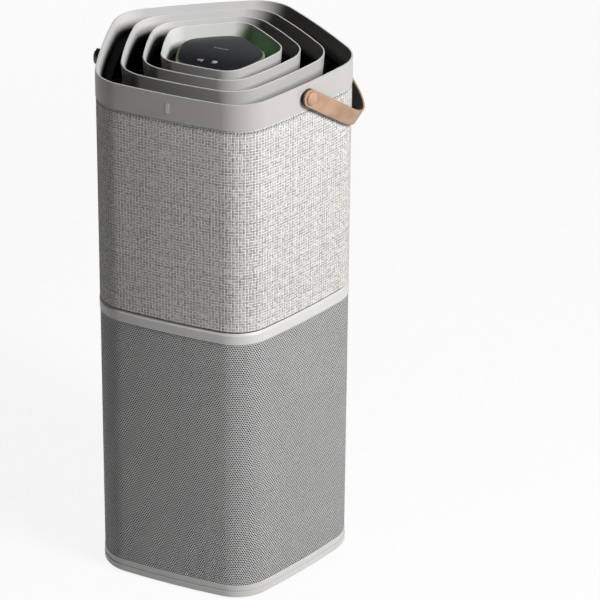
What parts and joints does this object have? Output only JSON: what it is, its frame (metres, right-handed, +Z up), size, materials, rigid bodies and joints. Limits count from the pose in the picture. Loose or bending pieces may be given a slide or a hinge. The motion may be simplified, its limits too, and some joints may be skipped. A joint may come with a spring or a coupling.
{
  "type": "air purifier",
  "caption": "Five-sided tower air purifier with nested louvre rings, a round-cornered display, a fabric upper section, a perforated base section and leather straps.",
  "frame": {"origin": "centre of the footprint, on the floor that the feet stand on", "axes": "+Z up, the flat front face towards -Y, the back corner towards +Y"},
  "size_m": [0.3448, 0.3085, 0.6936],
  "materials": {
    "rim_plastic": "satin",
    "ring_plastic": "satin",
    "window_plastic": "satin",
    "black_plastic": "satin",
    "circuit_board": "satin",
    "light_guide": "satin",
    "display_glass": "gloss",
    "sleeve_fabric": "matte",
    "frame_plastic": "matte",
    "cover_plastic": "satin",
    "fan_plastic": "satin",
    "sensor_plastic": "satin",
    "motor_aluminium": "satin",
    "motor_steel": "satin",
    "motor_copper": "satin",
    "bright_steel": "satin",
    "ferrite": "matte",
    "strap_leather": "satin",
    "rivet_tan": "satin",
    "foot_rubber": "matte",
    "socket_plastic": "satin",
    "socket_brass": "satin",
    "filter_media": "matte",
    "filter_cap": "satin",
    "filter_foam": "matte",
    "filter_strip": "satin"
  },
  "bodies": {
    "cabinet": {"top_rim": "rim_plastic", "sensor_window": "window_plastic", "outer_louvre": "ring_plastic", "middle_louvre": "ring_plastic", "inner_louvre": "ring_plastic", "outlet_guard": "black_plastic", "display_housing": "black_plastic", "display_board": "circuit_board", "light_guide": "light_guide", "display_glass": "display_glass", "upper_shell": "black_plastic", "fabric_sleeve": "sleeve_fabric", "hub_shroud": "black_plastic", "control_board": "circuit_board", "power_board": "circuit_board", "fan_housing": "black_plastic", "fan_hub": "black_plastic", "motor_base": "motor_aluminium", "motor_core": "motor_steel", "motor_windings": "motor_copper", "motor_bearings": "bright_steel", "inlet_bell": "black_plastic", "inlet_guard": "black_plastic", "particle_sensor": "sensor_plastic", "mid_ring": "rim_plastic", "intake_duct": "frame_plastic", "filter_deck": "frame_plastic", "lower_frame": "frame_plastic", "front_cover": "cover_plastic", "frame_magnets": "bright_steel", "base_pan": "rim_plastic", "feet": "foot_rubber", "power_socket": "socket_plastic", "socket_pins": "socket_brass", "strap_bosses": "black_plastic", "strap_rivets": "rivet_tan", "base_screws": "bright_steel", "frame_screws": "bright_steel", "shell_screws": "bright_steel", "fan_screws": "bright_steel", "guard_screws": "bright_steel", "motor_screws": "bright_steel"},
    "rotor": {"impeller": "fan_plastic", "impeller_ring": "fan_plastic", "motor_bell": "motor_steel", "motor_magnets": "ferrite", "motor_shaft": "bright_steel"},
    "rear_door": {"rear_cover": "cover_plastic", "rear_cover_frame": "frame_plastic", "cover_pull": "strap_leather", "cover_magnets": "bright_steel"},
    "filter": {"filter_media": "filter_media", "filter_top_cap": "filter_cap", "filter_bottom_cap": "filter_cap", "filter_core": "filter_foam", "filter_seal": "filter_foam", "filter_seam": "filter_strip"},
    "right_strap": {"right_strap": "strap_leather"},
    "left_strap": {"left_strap": "strap_leather"}
  },
  "joints": [
    {"name": "fan_spin", "type": "hinge", "parent": "cabinet", "child": "rotor", "pos_m": [0, 0, 0.45], "axis": [0, 0, 1], "continuous": true},
    {"name": "rear_cover_off", "type": "slide", "parent": "cabinet", "child": "rear_door", "axis": [0, 1, 0], "range_m": [0, 0.5]},
    {"name": "filter_out", "type": "slide", "parent": "cabinet", "child": "filter", "axis": [0, 1, 0], "range_m": [0, 0.3]},
    {"name": "right_strap_lift", "type": "hinge", "parent": "cabinet", "child": "right_strap", "pos_m": [0.14165, -0.04603, 0.6702], "axis": [0.309, -0.9511, 0], "range_deg": [0, 100], "deforming": ["right_strap"]},
    {"name": "left_strap_lift", "type": "hinge", "parent": "cabinet", "child": "left_strap", "pos_m": [-0.14165, -0.04603, 0.6702], "axis": [0.309, 0.9511, 0], "range_deg": [0, 100], "deforming": ["left_strap"]}
  ],
  "couplings": [
    {"joint": "filter_out", "follows": "rear_cover_off", "ratio": 0.6}
  ]
}
